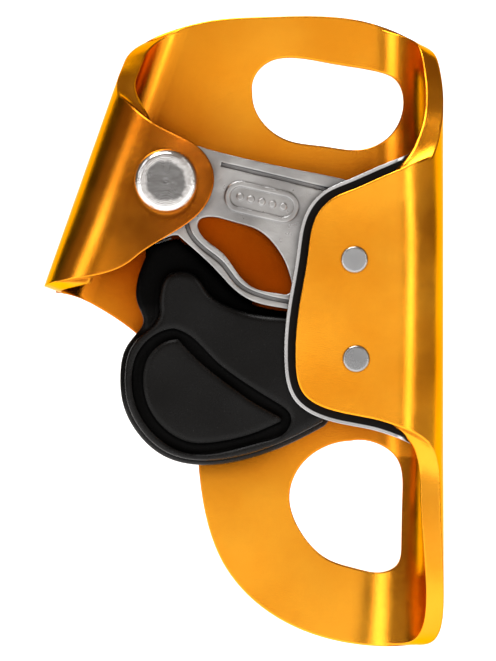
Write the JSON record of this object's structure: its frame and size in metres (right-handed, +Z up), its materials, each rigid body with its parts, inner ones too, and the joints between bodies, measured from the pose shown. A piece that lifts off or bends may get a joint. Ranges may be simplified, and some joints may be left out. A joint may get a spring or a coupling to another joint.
{
  "type": "chest ascender",
  "caption": "Chest rope ascender: bent sheet frame with two eyes, lined rope channel, toothed sprung cam on a riveted axle and a thumb catch lever.",
  "frame": {"origin": "inside the lower eye, half way between the outer faces of the flaps and of the back plate", "axes": "+Z up along the rope, +Y from the flaps towards the back plate, +X towards the closed wall of the rope channel"},
  "size_m": [0.0725, 0.0245, 0.1152],
  "materials": {
    "frame_gold": "polished orange-gold anodised",
    "stainless": "satin cast and blasted",
    "insert_steel": "polished edge",
    "rivet_steel": "turned",
    "spring_steel": "drawn wire",
    "black_nylon": "moulded satin black",
    "black_liner": "matt black",
    "bronze": "plain"
  },
  "bodies": {
    "shell": {"frame": "frame_gold", "channel_insert": "insert_steel", "channel_liner": "black_liner", "insert_rivets": "rivet_steel", "cam_axle": "rivet_steel", "axle_bush": "bronze", "front_washer": "rivet_steel", "rear_washer": "rivet_steel", "cam_spring": "spring_steel"},
    "cam": {"cam": "stainless", "catch_pin": "rivet_steel", "catch_spring": "spring_steel"},
    "lever": {"catch_lever": "black_nylon"}
  },
  "joints": [
    {"name": "cam_hinge", "type": "hinge", "parent": "shell", "child": "cam", "pos_m": [-0.0327, 0, 0.0591], "axis": [0, 1, 0], "range_deg": [0, 26], "stiffness_Nm_per_rad": 0.12, "springref_deg": -28.65},
    {"name": "catch_hinge", "type": "hinge", "parent": "cam", "child": "lever", "pos_m": [-0.0348, 0, 0.0498], "axis": [0, 1, 0], "range_deg": [0, 5], "stiffness_Nm_per_rad": 0.03, "springref_deg": -28.65}
  ]
}
